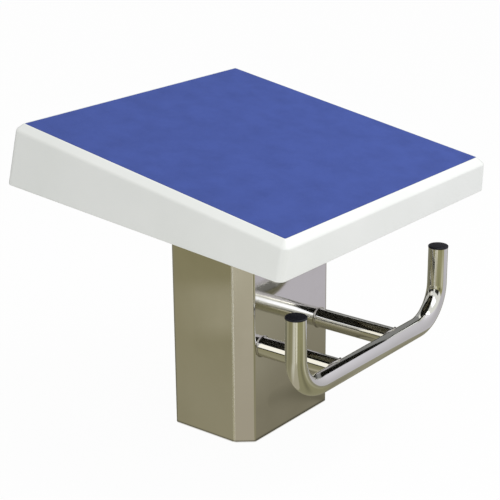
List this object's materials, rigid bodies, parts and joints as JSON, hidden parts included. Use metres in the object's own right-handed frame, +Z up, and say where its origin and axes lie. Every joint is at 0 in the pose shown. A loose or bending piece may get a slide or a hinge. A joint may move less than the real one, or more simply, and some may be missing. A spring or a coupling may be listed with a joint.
{
  "type": "swimming starting block",
  "caption": "Swimming starting block: a sloping moulded platform with a non-slip deck on a polished stainless column, with a backstroke start handle.",
  "frame": {"origin": "centre of the foot plate's underside, on the floor and on the column's axis", "axes": "+Z up; -Y towards the pool, which is the front with the handle; +X to the right as seen from the pool"},
  "size_m": [0.4938, 0.483, 0.4557],
  "materials": {
    "gel_coat": "white gel coat over glass-fibre laminate, soft gloss",
    "deck_surface": "blue non-slip coating with fine grit, matt",
    "plywood": "marine plywood, sealed",
    "polished_stainless": "mirror-polished stainless sheet",
    "polished_tube": "mirror-polished stainless tube",
    "mill_stainless": "mill-finish stainless plate",
    "fastener_steel": "plain stainless hardware",
    "zinc_steel": "zinc-plated steel",
    "plug_black": "black moulded plastic"
  },
  "bodies": {
    "root": {"platform_shell": "gel_coat", "deck_pad": "deck_surface", "core_board": "plywood", "threaded_insert_1": "zinc_steel", "threaded_insert_2": "zinc_steel", "threaded_insert_3": "zinc_steel", "threaded_insert_4": "zinc_steel", "flange_washer_1": "fastener_steel", "flange_washer_2": "fastener_steel", "flange_washer_3": "fastener_steel", "flange_washer_4": "fastener_steel", "flange_bolt_1": "fastener_steel", "flange_bolt_2": "fastener_steel", "flange_bolt_3": "fastener_steel", "flange_bolt_4": "fastener_steel", "top_flange": "mill_stainless", "column_shell": "polished_stainless", "base_plate": "mill_stainless", "handle_channel": "mill_stainless", "gusset_right": "mill_stainless", "gusset_rear": "mill_stainless", "gusset_left": "mill_stainless", "gusset_front": "mill_stainless", "handle_arm_left": "polished_tube", "handle_arm_right": "polished_tube", "handle_crossbar": "polished_tube", "end_plug_left": "plug_black", "end_plug_right": "plug_black"}
  },
  "joints": []
}
